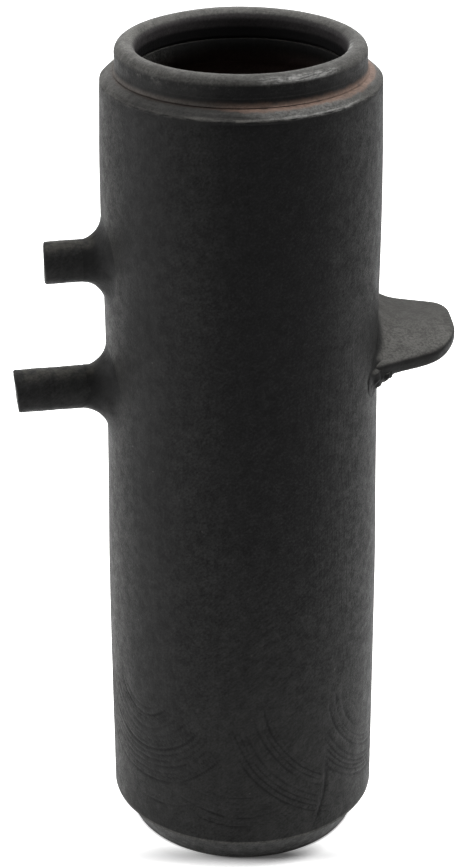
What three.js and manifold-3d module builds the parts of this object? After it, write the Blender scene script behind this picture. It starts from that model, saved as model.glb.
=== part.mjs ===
// Tall vase of blackened clay: a thrown cylinder on a turned foot, closed above by a thrown collar,
// with two solid round pegs on one side and one flat ear on the other. Each of the three is luted on
// and has a coil of clay smoothed round its root.
// Millimetres, +Z up, origin at the middle of the face that the foot rests on.
// The pegs point along -X and the ear along +X.

import * as THREE from 'three';
import { mergeVertices } from 'three/addons/utils/BufferGeometryUtils.js';
import Module from 'manifold-3d';

const wasm = await Module();
wasm.setup();

// Clearance between two pieces that are luted together
const jointGap = 0.3;

// Foot, a turned disc that tapers from just inside the cylinder's heel to the ground
const footRadius = 56.6;
const footTopRadius = 62;
const footHeight = 14.1;
const footEdgeRound = 2.2;

// Cylinder, measured from its own bottom edge; the swells are what the hand left on a straight wall
const bodyRadius = 64.25;
const bodyHeight = 374.6;
const bodyWall = 9;
const bodyFloor = 11;
const bodyHeelRound = 0.5;
const floorCove = 14;
const heelSwell = 0.75;
const lowSwell = 1.15;
const bellySwell = 1.2;
const waistSwell = 0.5;
const middleSwell = 0.3;
const upperSwell = 1;

// Shoulder, the ledge that the cylinder turns in to at the top
const shoulderDrop = 4.4;
const shoulderEdgeRound = 1.2;
const shoulderThickness = 11;
const mouthOverhang = 1.5;

// Collar, a ring with a full round lip and a small flare where it is pressed down on the shoulder
const collarRadius = 57.4;
const collarWall = 9.4;
const collarHeight = 13.5;
const collarFlare = 0.9;
const collarFlareHeight = 3;
const collarInsideChamfer = 2;

// Pegs, solid round stubs; a reach is measured from the cylinder's nominal wall
const upperPegRadius = 10;
const upperPegReach = 27.4;
const upperPegHeight = 301.3;
const upperPegEndSlant = 0;
const lowerPegRadius = 10.4;
const lowerPegReach = 44;
const lowerPegHeight = 237.6;
const lowerPegEndSlant = 5.5;
const pegEndRound = 1.6;

// Ear, a flat tongue that narrows to a tip with one tight and one wide corner
const earReach = 40;
const earRootWidth = 57.5;
const earTipWidth = 34.9;
const earThickness = 7.9;
const earEdgeRound = 2.7;
const earFrontCorner = 29.5;
const earBackCorner = 9.8;
const earHeight = 252.5;
const earTilt = 13.6;

// Root coils, smoothed to a hollow curve; an excess is how much larger they are on the underside
const upperPegCoilReach = 7.4;
const upperPegCoilExcess = 0.4;
const lowerPegCoilReach = 7.8;
const lowerPegCoilExcess = 2.7;
const earCoilReach = 5;
const earCoilExcess = 0.5;
const coilFeather = 0.5;

// Facets
const roundSteps = 64;
const wallSteps = 18;
const pegSteps = 32;
const coilSteps = 40;
const coilRings = 7;
const arcSteps = 6;

// Levels and radii that follow from the sizes above
const bodyBottom = footHeight + jointGap;
const bodyTop = bodyBottom + bodyHeight;
const shoulderLevel = bodyTop - shoulderDrop;
const collarBottom = bodyTop + jointGap;
const collarInside = collarRadius - collarWall;
const bodyInside = bodyRadius - bodyWall;
const mouthInside = collarInside + mouthOverhang;
const seatRadius = collarRadius + collarFlare + jointGap;
const deepInside = bodyRadius * 0.8;

const firedClay = { color: 0x2e2e2c, roughness: 0.62, metalness: 0 };
const coilClay = { color: 0x34302c, roughness: 0.68, metalness: 0 };
const rimClay = { color: 0x3a3a37, roughness: 0.58, metalness: 0 };

function degrees(angle) {
  return THREE.MathUtils.degToRad(angle);
}

// Points of an elliptical arc in the plane of a profile: x is the radius, y the height
function arcPoints(x, y, radiusX, radiusY, from, to, steps = arcSteps) {
  const ellipse = new THREE.EllipseCurve(x, y, radiusX, radiusY, degrees(from), degrees(to), to < from);
  return ellipse.getPoints(steps);
}

// Shared vertices only, without the flat triangles that a profile makes where it meets its axis
function welded(geometry) {
  const bare = geometry.clone();
  bare.deleteAttribute('normal');
  bare.deleteAttribute('uv');
  const merged = mergeVertices(bare, 1e-4);
  const corners = merged.index.array;
  const kept = [];
  for (let i = 0; i < corners.length; i += 3) {
    const [a, b, c] = [corners[i], corners[i + 1], corners[i + 2]];
    if (a !== b && b !== c && c !== a) kept.push(a, b, c);
  }
  merged.setIndex(kept);
  return merged;
}

function turned(profile, steps = roundSteps) {
  const points = profile.map(([radius, height]) => new THREE.Vector2(radius, height));
  return welded(new THREE.LatheGeometry(points, steps).rotateX(Math.PI / 2));
}

function asSolid(geometry) {
  const vertProperties = new Float32Array(geometry.attributes.position.array);
  const triVerts = new Uint32Array(geometry.index.array);
  return new wasm.Manifold(new wasm.Mesh({ numProp: 3, vertProperties, triVerts }));
}

function asGeometry(solid) {
  const mesh = solid.getMesh();
  const geometry = new THREE.BufferGeometry();
  geometry.setAttribute('position', new THREE.BufferAttribute(new Float32Array(mesh.vertProperties), 3));
  geometry.setIndex(Array.from(mesh.triVerts));
  return geometry;
}

function cut(geometry, ...tools) {
  return asGeometry(tools.reduce((solid, tool) => solid.subtract(asSolid(tool)), asSolid(geometry)));
}

function piece(name, geometry, clay) {
  const flat = geometry.toNonIndexed();
  flat.computeVertexNormals();
  const mesh = new THREE.Mesh(flat, new THREE.MeshStandardMaterial(clay));
  mesh.name = name;
  return mesh;
}

// Outer wall of the cylinder, from its bottom edge to its shoulder, as radius and height
const swells = [heelSwell, lowSwell, bellySwell, waistSwell, middleSwell, upperSwell, 0];
const swellCurve = new THREE.SplineCurve(swells.map((swell, i) => new THREE.Vector2(i, swell)));
const wallLine = swellCurve.getPoints(wallSteps).map((point) => [
  bodyRadius + point.y,
  THREE.MathUtils.mapLinear(point.x, 0, swells.length - 1, bodyBottom + bodyHeelRound, shoulderLevel),
]);

function wallRadiusAt(height) {
  const last = wallLine.length - 1;
  let i = 1;
  while (i < last && wallLine[i][1] < height) i += 1;
  const [[lowRadius, low], [highRadius, high]] = [wallLine[i - 1], wallLine[i]];
  return THREE.MathUtils.mapLinear(height, low, high, lowRadius, highRadius);
}

// Sloping shoulder, from its rounded outer edge in to the collar's seat
function shoulderLine() {
  const slope = Math.atan2(shoulderDrop, bodyRadius - seatRadius);
  const edgeTurn = 90 - THREE.MathUtils.radToDeg(slope);
  const edge = arcPoints(bodyRadius - shoulderEdgeRound, shoulderLevel,
    shoulderEdgeRound, shoulderEdgeRound, 0, edgeTurn, 4);
  return [...edge.map((point) => [point.x, point.y]), [seatRadius, bodyTop]];
}

// Cylinder with its floor, cove and turned-in shoulder
function bodyProfile() {
  const heelRadius = wallLine[0][0] - bodyHeelRound;
  const heel = arcPoints(heelRadius, bodyBottom + bodyHeelRound, bodyHeelRound, bodyHeelRound, -90, 0, 3);
  const neckDepth = shoulderThickness / 2;
  const lip = arcPoints(mouthInside + 1, bodyTop - 1, 1, 1, 90, 180, 2);
  const neck = arcPoints(mouthInside, bodyTop - shoulderThickness - neckDepth,
    bodyInside - mouthInside, neckDepth, 90, 0);
  const cove = arcPoints(bodyInside - floorCove, bodyBottom + bodyFloor + floorCove,
    floorCove, floorCove, 0, -90);
  return [
    [0, bodyBottom],
    ...heel.map((point) => [point.x, point.y]),
    ...wallLine.slice(1, -1),
    ...shoulderLine(),
    ...lip.map((point) => [point.x, point.y]),
    ...neck.map((point) => [point.x, point.y]),
    ...cove.map((point) => [point.x, point.y]),
    [0, bodyBottom + bodyFloor],
  ];
}

// The cylinder as a full bar that is one joint gap larger, which gives a root its seat on the wall
function wallCutter() {
  const grown = wallLine.map(([radius, height]) => [radius + jointGap, height]);
  return turned([[0, wallLine[0][1]], ...grown, [0, shoulderLevel]]);
}

function footProfile() {
  const edge = arcPoints(footRadius - footEdgeRound, footEdgeRound, footEdgeRound, footEdgeRound, -90, 0, 4);
  return [[0, 0], ...edge.map((point) => [point.x, point.y]), [footTopRadius, footHeight], [0, footHeight]];
}

// Ring that closes on itself: flared foot, upright wall, full round lip, plain inside with a chamfer below
function collarProfile() {
  const lipCentre = collarBottom + collarHeight - collarWall / 2;
  const middle = collarRadius - collarWall / 2;
  const flare = arcPoints(collarRadius + collarFlare, collarBottom + collarFlareHeight,
    collarFlare, collarFlareHeight, 270, 180, 4);
  const lip = arcPoints(middle, lipCentre, collarWall / 2, collarWall / 2, 0, 180, 12);
  const ring = [...flare, ...lip].map((point) => [point.x, point.y]);
  const chamfered = [collarInside + collarInsideChamfer, collarBottom];
  return [chamfered, ...ring, [collarInside, collarBottom + collarInsideChamfer], chamfered];
}

// Round stub along +X from deep inside the wall; its end plane leans by the slant
function pegBar(radius, reach, slant, growth) {
  const length = bodyRadius + reach + growth;
  const round = arcPoints(radius + growth - pegEndRound, length - pegEndRound, pegEndRound, pegEndRound, 0, 90, 4);
  const profile = [
    [0, deepInside],
    [radius + growth, deepInside],
    ...round.map((point) => [point.x, point.y]),
    [0, length],
  ];
  const bar = turned(profile, pegSteps).rotateY(Math.PI / 2);
  const places = bar.attributes.position;
  for (let i = 0; i < places.count; i += 1) {
    const share = (places.getX(i) - deepInside) / (length - deepInside);
    places.setX(i, places.getX(i) + Math.tan(degrees(slant)) * places.getZ(i) * share);
  }
  return bar;
}

// Half of the ear's width at a distance from the vase's axis
function earHalfWidth(distance) {
  return THREE.MathUtils.mapLinear(distance, bodyRadius, bodyRadius + earReach, earRootWidth, earTipWidth) / 2;
}

// Adds a corner of the ear's outline, rounded by an arc that touches both of its edges
function addRoundCorner(shape, before, corner, after, radius) {
  const back = before.clone().sub(corner).normalize();
  const onward = after.clone().sub(corner).normalize();
  const half = back.angleTo(onward) / 2;
  const centre = back.clone().add(onward).normalize().multiplyScalar(radius / Math.sin(half)).add(corner);
  const start = back.multiplyScalar(radius / Math.tan(half)).add(corner).sub(centre);
  const end = onward.multiplyScalar(radius / Math.tan(half)).add(corner).sub(centre);
  shape.absarc(centre.x, centre.y, radius, start.angle(), end.angle(), false);
}

// Flat tongue along +X with rounded edges; growth makes it larger all round
function earPlate(growth) {
  const tip = bodyRadius + earReach + growth;
  const rootFront = new THREE.Vector2(deepInside, -earHalfWidth(deepInside) - growth);
  const tipFront = new THREE.Vector2(tip, -earHalfWidth(tip) - growth);
  const tipBack = new THREE.Vector2(tip, earHalfWidth(tip) + growth);
  const rootBack = new THREE.Vector2(deepInside, earHalfWidth(deepInside) + growth);
  const outline = new THREE.Shape();
  outline.moveTo(rootBack.x, rootBack.y);
  outline.lineTo(rootFront.x, rootFront.y);
  addRoundCorner(outline, rootFront, tipFront, tipBack, earFrontCorner);
  addRoundCorner(outline, tipFront, tipBack, rootBack, earBackCorner);
  const plate = new THREE.ExtrudeGeometry(outline, {
    depth: earThickness + 2 * growth - 2 * earEdgeRound,
    bevelThickness: earEdgeRound,
    bevelSize: earEdgeRound,
    bevelOffset: -earEdgeRound,
    bevelSegments: 4,
    curveSegments: 6,
  });
  return welded(plate.translate(0, 0, earEdgeRound - earThickness / 2 - growth));
}

// Round the root of a peg: the place and outward direction of each point of its section
function pegSection(radius) {
  return () => Array.from({ length: coilSteps }, (_, i) => {
    const angle = (i / coilSteps) * 2 * Math.PI;
    const across = Math.cos(angle);
    const up = Math.sin(angle);
    return { y: radius * across, z: radius * up, across, up };
  });
}

// Round the root of the ear: a flat rounded rectangle whose width follows the taper
function earSection(distance) {
  const halfFlat = earHalfWidth(distance) - earEdgeRound;
  const halfSide = earThickness / 2 - earEdgeRound;
  const flatSteps = 10;
  const cornerSteps = 4;
  const section = [];
  const corners = [[1, 1], [-1, 1], [-1, -1], [1, -1]];
  corners.forEach(([side, level], quarter) => {
    for (let i = 0; i <= cornerSteps; i += 1) {
      const angle = degrees((quarter + i / cornerSteps) * 90);
      const across = Math.cos(angle);
      const up = Math.sin(angle);
      const y = side * halfFlat + earEdgeRound * across;
      section.push({ y, z: level * halfSide + earEdgeRound * up, across, up });
    }
    if (quarter % 2 === 0) {
      for (let i = 1; i < flatSteps; i += 1) {
        const y = side * halfFlat * (1 - (2 * i) / flatSteps);
        section.push({ y, z: level * earThickness / 2, across: 0, up: level });
      }
    }
  });
  return section;
}

// Coil smoothed round a root, along +X: rings that leave the root's own side, sweep out in a hollow
// quarter curve and run out on the wall. The wall and the root are then cut away with their gaps.
function rootCoil(frame, height, sectionAt, reach, excess, root, tilt = 0) {
  const wall = wallRadiusAt(height);
  const rings = [];
  for (let ring = 0; ring <= coilRings; ring += 1) {
    const turn = (ring / coilRings) * Math.PI / 2;
    const section = sectionAt(wall + reach * (1 - Math.sin(turn)));
    rings.push(section.map(({ y, z, across, up }) => {
      const size = reach + excess * Math.max(0, -up);
      const spread = coilFeather + jointGap + size * (1 - Math.cos(turn));
      const sideways = (y + spread * across) * Math.cos(tilt) - (z + spread * up) * Math.sin(tilt);
      const wallFace = Math.sqrt(wall ** 2 - sideways ** 2);
      const standOff = jointGap + coilFeather + size * (1 - Math.sin(turn));
      return [wallFace + standOff, y + spread * across, z + spread * up];
    }));
  }
  rings.push(rings[coilRings].map(([x, y, z]) => [x - reach, y, z]));

  const count = rings[0].length;
  const corners = rings.flat();
  const middle = (ring) => ring.reduce((sum, point) => sum.map((v, i) => v + point[i] / count), [0, 0, 0]);
  const front = corners.push(middle(rings[0])) - 1;
  const rear = corners.push(middle(rings[rings.length - 1])) - 1;
  const faces = [];
  for (let i = 0; i < count; i += 1) {
    const next = (i + 1) % count;
    faces.push(front, i, next);
    for (let ring = 0; ring < rings.length - 1; ring += 1) {
      const near = ring * count;
      const far = near + count;
      faces.push(near + i, far + i, far + next, near + i, far + next, near + next);
    }
    const last = (rings.length - 1) * count;
    faces.push(rear, last + next, last + i);
  }
  const flare = new THREE.BufferGeometry();
  flare.setAttribute('position', new THREE.Float32BufferAttribute(corners.flat(), 3));
  flare.setIndex(faces);
  return cut(flare, wallSeenFrom(frame), root);
}

// The enlarged wall in the frame of a group that holds a peg or the ear
function wallSeenFrom(frame) {
  frame.updateMatrixWorld(true);
  return wallCutter().applyMatrix4(frame.matrixWorld.clone().invert());
}

function pegGroup(name, radius, reach, height, slant, coilReach, coilExcess) {
  const group = new THREE.Group();
  group.position.z = height;
  group.rotation.z = Math.PI;
  const bar = pegBar(radius, reach, slant, 0);
  const room = pegBar(radius, reach, slant, jointGap);
  group.add(piece(name, cut(bar, wallSeenFrom(group)), firedClay));
  const coil = rootCoil(group, height, pegSection(radius), coilReach, coilExcess, room);
  group.add(piece(`${name}_coil`, coil, coilClay));
  return group;
}

function earGroup() {
  const group = new THREE.Group();
  group.position.z = earHeight;
  group.rotation.x = degrees(earTilt);
  const tilt = group.rotation.x;
  group.add(piece('ear', cut(earPlate(0), wallSeenFrom(group)), firedClay));
  const room = earPlate(jointGap);
  const coil = rootCoil(group, earHeight, earSection, earCoilReach, earCoilExcess, room, tilt);
  group.add(piece('ear_coil', coil, coilClay));
  return group;
}

const vase = new THREE.Group();
vase.add(piece('foot', turned(footProfile()), firedClay));
vase.add(piece('body_cylinder', turned(bodyProfile()), firedClay));
vase.add(piece('collar', turned(collarProfile()), rimClay));
vase.add(pegGroup('upper_peg', upperPegRadius, upperPegReach, upperPegHeight, upperPegEndSlant,
  upperPegCoilReach, upperPegCoilExcess));
vase.add(pegGroup('lower_peg', lowerPegRadius, lowerPegReach, lowerPegHeight, lowerPegEndSlant,
  lowerPegCoilReach, lowerPegCoilExcess));
vase.add(earGroup());

export default vase;
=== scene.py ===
from math import atan2, cos, degrees, floor, hypot, pi, radians, sin, sqrt, tan, tau

import bpy
from mathutils import Matrix, Vector, noise


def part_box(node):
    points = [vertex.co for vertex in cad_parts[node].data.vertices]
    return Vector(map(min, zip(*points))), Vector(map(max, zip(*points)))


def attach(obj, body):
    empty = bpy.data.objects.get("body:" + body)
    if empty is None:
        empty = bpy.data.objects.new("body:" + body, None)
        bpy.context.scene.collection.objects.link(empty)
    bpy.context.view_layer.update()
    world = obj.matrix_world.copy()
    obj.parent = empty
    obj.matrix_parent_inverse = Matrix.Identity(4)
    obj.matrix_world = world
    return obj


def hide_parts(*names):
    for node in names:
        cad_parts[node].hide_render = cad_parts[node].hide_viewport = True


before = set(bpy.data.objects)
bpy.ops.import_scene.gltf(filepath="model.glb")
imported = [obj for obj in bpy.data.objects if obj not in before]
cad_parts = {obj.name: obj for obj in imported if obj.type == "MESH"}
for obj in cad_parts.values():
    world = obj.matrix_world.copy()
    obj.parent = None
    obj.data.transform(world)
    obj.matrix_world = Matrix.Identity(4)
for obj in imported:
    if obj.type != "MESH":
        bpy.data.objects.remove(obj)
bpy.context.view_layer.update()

mm = 0.001
frontTurn = radians(-10.4)  # the camera stands this far round from the -Y side


def boxOf(node):
    low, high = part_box(node)
    return Vector(low), Vector(high)


def deselectAll():
    if bpy.context.object and bpy.context.object.mode != "OBJECT":
        bpy.ops.object.mode_set(mode="OBJECT")
    bpy.ops.object.select_all(action="DESELECT")


def smoothStep(value, low, high):
    share = min(1.0, max(0.0, (value - low) / (high - low)))
    return share * share * (3 - 2 * share)


def fadeBetween(value, limits, fade):
    low, high = limits
    return smoothStep(value, low, low + fade) * (1 - smoothStep(value, high - fade, high))


def arcPoints(centre, radius, start, end, steps):
    # elliptical arc of a profile, as (radius, height) pairs, angles in degrees
    turns = [radians(start + (end - start) * i / steps) for i in range(steps + 1)]
    return [(centre[0] + radius[0] * cos(t), centre[1] + radius[1] * sin(t)) for t in turns]


def spinOutline(name, outline, steps, axis="Z", height=0.0):
    # one point is pulled along the outline, as on a turning rib, then spun round the axis
    deselectAll()
    upright = axis == "Z"
    places = [Vector((r, 0, a)) if upright else Vector((a, 0, height + r)) for r, a in outline]
    bpy.ops.mesh.primitive_plane_add(size=0.01)
    piece = bpy.context.object
    piece.name = name
    bpy.ops.object.mode_set(mode="EDIT")
    bpy.ops.mesh.select_all(action="SELECT")
    bpy.ops.mesh.merge(type="CENTER")
    bpy.ops.transform.translate(value=places[0])
    for here, there in zip(places, places[1:]):
        bpy.ops.mesh.extrude_region_move(TRANSFORM_OT_translate={"value": there - here})
    bpy.ops.mesh.select_all(action="SELECT")
    around = (0, 0, 1) if upright else (1, 0, 0)
    bpy.ops.mesh.spin(steps=steps, angle=tau, center=(0, 0, height), axis=around)
    bpy.ops.mesh.select_all(action="SELECT")
    bpy.ops.mesh.remove_doubles(threshold=0.002 * mm)
    bpy.ops.mesh.normals_make_consistent(inside=False)
    bpy.ops.object.mode_set(mode="OBJECT")
    return piece


def finishPiece(piece, nodes, material, sharpAngle=None):
    deselectAll()
    piece.select_set(True)
    bpy.context.view_layer.objects.active = piece
    if sharpAngle is None:
        bpy.ops.object.shade_smooth()
    else:
        bpy.ops.object.shade_smooth_by_angle(angle=radians(sharpAngle))
    piece.data.materials.clear()
    piece.data.materials.append(material)
    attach(piece, "root")
    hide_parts(*nodes)
    print("made", piece.name, len(piece.data.vertices), "vertices")


# Unevenness that the hands left, the same field for every piece, so that joints stay smooth
handMarks = {
    "slowDepth": 0.22 * mm, "slowSize": 55 * mm,
    "facetDepth": 0.07 * mm, "facetSize": 11 * mm,
    "fineDepth": 0.04 * mm, "fineSize": 2.6 * mm,
}


def handField(place):
    tall = Vector((place.x, place.y, place.z * 0.4))
    strip = Vector((place.x, place.y, place.z * 0.22))
    slow = noise.noise(tall / handMarks["slowSize"]) * handMarks["slowDepth"]
    facet = noise.noise(strip / handMarks["facetSize"] + Vector((7.3, 1.9, 4.4))) * handMarks["facetDepth"]
    fine = noise.noise(place / handMarks["fineSize"]) * handMarks["fineDepth"]
    if hypot(place.x, place.y) < bodyHigh.x:
        fine *= 1 - smoothStep(place.z, 120 * mm, 128 * mm)  # the wall's mesh is coarser above
    return slow + facet + fine - 0.1 * mm


def pressByHand(piece, extra=None):
    places = [(v.co.copy(), v.normal.copy()) for v in piece.data.vertices]
    for vertex, (place, normal) in zip(piece.data.vertices, places):
        depth = handField(place) + (extra(place, normal) if extra else 0.0)
        vertex.co = place + normal * depth
    piece.data.update()


# Body

bodyLow, bodyHigh = boxOf("body_cylinder")
footHigh = boxOf("foot")[1]
collarLow, collarHigh = boxOf("collar")

bodyShape = {
    "swells": [0.75 * mm, 1.15 * mm, 1.2 * mm, 0.5 * mm, 0.3 * mm, 1.0 * mm, 0.0],
    "wall": 9 * mm, "floor": 11 * mm, "cove": 14 * mm,
    "heelRound": 0.5 * mm, "shoulderDrop": 4.4 * mm, "shoulderRound": 1.2 * mm,
    "shoulderThickness": 11 * mm, "mouthOverhang": 0.3 * mm, "mouthRound": 0.5 * mm,
    "seatGap": 0.3 * mm, "shoulderBulge": 0.5 * mm, "shoulderWave": 0.4 * mm,
    "shoulderCrackle": 0.08 * mm, "shoulderStreak": 0.2 * mm,
    "turnedLine": 0.22 * mm, "upperFullness": 0.32 * mm, "strokeScale": 1.5, "fullShadeCut": 0.2,
    "scrapedTop": 126 * mm, "fineRing": 0.82 * mm, "coarseRing": 4 * mm, "steps": 372,
}


def swellAt(share):
    # smooth curve through the swells, evenly spaced from the heel (0) to the shoulder (1)
    swells = bodyShape["swells"]
    last = len(swells) - 1
    i = min(last - 1, max(0, floor(share * last)))
    t = share * last - i
    p0, p1, p2, p3 = (swells[min(last, max(0, i + k))] for k in (-1, 0, 1, 2))
    v1, v2 = (p2 - p0) / 2, (p3 - p1) / 2
    return (2 * (p1 - p2) + v1 + v2) * t ** 3 + (3 * (p2 - p1) - 2 * v1 - v2) * t ** 2 + v1 * t + p1


bodyRadius = bodyHigh.x - max(swellAt(i / 100) for i in range(101))
bodyBottom, bodyTop = bodyLow.z, bodyHigh.z
wallBottom = bodyBottom + bodyShape["heelRound"]
shoulderLevel = bodyTop - bodyShape["shoulderDrop"]
collarFlare = 0.9 * mm
collarRadius = collarHigh.x - collarFlare


def wallRadius(height):
    return bodyRadius + swellAt((height - wallBottom) / (shoulderLevel - wallBottom))


# Scraping strokes: nested arcs left by a rib. Each row is a set, which lies over the sets after it:
# the angle of its middle from the -Y side and its height, the radii it covers, its pitch and depth, the
# directions it covers (0 is down, + towards +X) and the turns round the vase. Lengths are in mm here.
scrapeStrokes = [
    (-25, 48, (56, 62), 4.0, 0.26, (58, 112), (40, 66)),
    (-58, 95, (12, 55), 2.9, 0.21, (-78, 66), (-90, 52)),
    (-52, 73, (42, 47), 3.7, 0.20, (-26, 36), (-60, 40)),
    (70, 90, (34, 66), 3.3, 0.36, (-96, 14), (-42, 40)),
    (50, 98, (54, 81), 3.4, 0.24, (-82, -4), (-90, -20)),
    (-12, 94, (50, 71), 2.8, 0.17, (-30, 38), (-60, 60)),
    (118, 92, (16, 56), 3.3, 0.24, (-70, 60), (-90, 90)),
    (178, 98, (40, 72), 3.6, 0.22, (-66, 20), (-90, 90)),
    (-136, 94, (22, 58), 3.2, 0.23, (-60, 66), (-90, 90)),
    (46, 150, (18, 44), 5.0, 0.06, (-70, 70), (-90, 90)),
    (-30, 150, (20, 40), 5.0, 0.05, (-60, 60), (-90, 90)),
    (120, 146, (18, 42), 5.0, 0.06, (-70, 70), (-90, 90)),
    (-150, 152, (18, 42), 5.0, 0.06, (-70, 70), (-90, 90)),
]


def strokeAt(place):
    # how deep the strokes cut at a point of the wall, in mm
    depth, bare = 0.0, 1.0
    around = degrees(atan2(place.x, -place.y))
    for angle, height, radii, pitch, cut, lean, turns in scrapeStrokes:
        turn = (around - angle + 180) % 360 - 180
        across = radians(turn) * bodyRadius / mm
        up = place.z / mm - height
        distance = hypot(across, up)
        if not radii[0] < distance < radii[1]:
            continue
        wobble = noise.noise(Vector((across, up, angle)) / 22) * 0.35
        wobble += noise.noise(Vector((distance / pitch / 1.9, angle, 2.5))) * 0.8  # uneven spacing
        count = distance / pitch + wobble
        slip = noise.noise(Vector((round(count) * 2.3, angle, 7.5))) * 14  # lines start and end apart
        weight = fadeBetween(degrees(atan2(across, -up)) + slip, lean, 16)
        weight *= fadeBetween(turn, turns, 2) * fadeBetween(distance, radii, 2)
        strength = 0.45 + 1.8 * abs(noise.noise(Vector((round(count) * 1.7, angle, 0.5))))
        pressed = noise.noise(Vector((across, up, round(count) * 5)) / 9)  # harder in places
        strength *= 0.85 + 0.7 * pressed
        line = (0.5 + 0.5 * cos(tau * count)) ** 3
        depth += bare * weight * strength * line * cut
        bare *= 1 - weight
    return depth


def bodyOutline():
    shape = bodyShape
    inside = bodyRadius - shape["wall"]
    mouth = collarRadius - collarShape["wall"] + shape["mouthOverhang"]
    top = shape["scrapedTop"]
    seat = collarHigh.x + shape["seatGap"]
    heelRadius = wallRadius(wallBottom) - shape["heelRound"]
    heel = arcPoints((heelRadius, wallBottom), (shape["heelRound"], shape["heelRound"]), -90, 0, 5)
    fineRings = round((top - wallBottom) / shape["fineRing"])
    coarseRings = round((shoulderLevel - top) / shape["coarseRing"])
    low = [wallBottom + (top - wallBottom) * i / fineRings for i in range(1, fineRings + 1)]
    high = [top + (shoulderLevel - top) * i / coarseRings for i in range(1, coarseRings)]
    edgeRound = shape["shoulderRound"]
    edgeTurn = 90 - degrees(atan2(shape["shoulderDrop"], bodyRadius - seat))
    line = [(bodyRadius, shoulderLevel - down * mm) for down in (1.7, 1.35, 1.05, 0.75, 0.4)]
    edge = line + arcPoints((bodyRadius - edgeRound, shoulderLevel), (edgeRound, edgeRound), 0, edgeTurn, 8)
    slope = []
    edgeRadius, edgeLevel = edge[-1]
    for share in (i / 8 for i in range(1, 9)):
        level = edgeLevel + (bodyTop - edgeLevel) * share + shape["shoulderBulge"] * sin(pi * share)
        slope.append((edgeRadius + (seat - edgeRadius) * share, level))
    mouthRound = shape["mouthRound"]
    ledge = [(seat + (mouth + mouthRound - seat) * i / 5, bodyTop) for i in range(1, 5)]
    lip = arcPoints((mouth + mouthRound, bodyTop - mouthRound), (mouthRound, mouthRound), 90, 180, 3)
    neckDepth = shape["shoulderThickness"] / 2
    neckLevel = bodyTop - shape["shoulderThickness"] - neckDepth
    neck = arcPoints((mouth, neckLevel), (inside - mouth, neckDepth), 90, 0, 8)
    floorTop = bodyBottom + shape["floor"]
    wallInside = [(inside, neckLevel - 30 * mm * i) for i in range(1, 11)]
    cove = shape["cove"]
    coveArc = arcPoints((inside - cove, floorTop + cove), (cove, cove), 0, -90, 8)
    return [
        (0, bodyBottom), (30 * mm, bodyBottom), (52 * mm, bodyBottom), *heel,
        *[(wallRadius(z), z) for z in low + high],
        *edge, *slope, *ledge, *lip, *neck, *wallInside, *coveArc, (20 * mm, floorTop), (0, floorTop),
    ]


def makeBody(material):
    shape = bodyShape
    piece = spinOutline("bodyCylinder", bodyOutline(), shape["steps"])
    cuts = piece.data.attributes.new("strokeCut", "FLOAT", "POINT")
    depths = {}
    for vertex in piece.data.vertices:
        place = vertex.co
        if hypot(place.x, place.y) > bodyRadius - 2 * mm and wallBottom < place.z < 200 * mm:
            depth = strokeAt(place)
            # the share of the cut depth drives the painted shade in the grooves
            cuts.data[vertex.index].value = min(1.0, depth / shape["fullShadeCut"])
            depths[tuple(place)] = shape["strokeScale"] * depth * mm

    def wallMarks(place, normal):
        radius = hypot(place.x, place.y)
        if radius < bodyRadius - shape["wall"]:
            return 0.0
        upper = shape["upperFullness"] * smoothStep(place.z, 325 * mm, 358 * mm)
        around = Vector((place.x, place.y, 0))
        high = smoothStep(place.z, shoulderLevel - 4 * mm, shoulderLevel)
        wave = noise.noise(around / (16 * mm)) * shape["shoulderWave"] * high
        crackle = (abs(noise.noise(place / (3.4 * mm))) - 0.25) * shape["shoulderCrackle"] * high
        turned = Vector((place.x / radius * 3, place.y / radius * 3, (radius - place.z) / (1.7 * mm)))
        crackle += noise.noise(turned) * shape["shoulderStreak"] * high
        level = abs(place.z - (shoulderLevel - 1.05 * mm))
        line = shape["turnedLine"] * (1 - smoothStep(level, 0, 0.65 * mm))
        line *= smoothStep(noise.noise(around / (24 * mm)), -0.15, 0.3)  # the turned line comes and goes
        inner = smoothStep(radius, collarHigh.x + 0.5 * mm, collarHigh.x + 2.5 * mm)
        return (upper + wave + crackle) * inner - line - depths.get(tuple(place), 0.0)

    pressByHand(piece, wallMarks)
    finishPiece(piece, ["body_cylinder"], material)
    return piece


# Foot

footShape = {
    "bottomRadius": 56.6 * mm, "edgeRound": 2.2 * mm, "steps": 256, "rings": 16,
    "lineDepth": 0.07 * mm, "lineSize": 1.7 * mm,
}


def makeFoot(material):
    radius, height, edge = footShape["bottomRadius"], footHigh.z, footShape["edgeRound"]
    bottom = arcPoints((radius - edge, edge), (edge, edge), -90, 0, 6)
    shares = [i / footShape["rings"] for i in range(1, footShape["rings"] + 1)]
    side = [(radius + (footHigh.x - radius) * share, edge + (height - edge) * share) for share in shares]
    outline = [(0, 0), (25 * mm, 0), (48 * mm, 0), *bottom, *side, (45 * mm, height), (0, height)]
    piece = spinOutline("foot", outline, footShape["steps"])

    def turningLines(place, normal):
        upright = 1 - abs(normal.z)
        line = noise.noise(Vector((place.x * 2, place.y * 2, place.z / footShape["lineSize"])))
        flat = -handField(place) if normal.z < -0.9 else 0.0  # the resting face stays flat
        return (line * footShape["lineDepth"] - 0.04 * mm) * upright + flat

    pressByHand(piece, turningLines)
    finishPiece(piece, ["foot"], material)
    return piece


# Collar

collarShape = {
    "wall": 9.4 * mm, "flareHeight": 3 * mm, "chamfer": 0.6 * mm,
    "steps": 336, "wallRings": 14, "lipRings": 26,
    "lineDepth": 0.13 * mm, "lineSize": 0.9 * mm, "rimWave": 0.3 * mm, "topRoom": 0.15 * mm,
}


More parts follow.
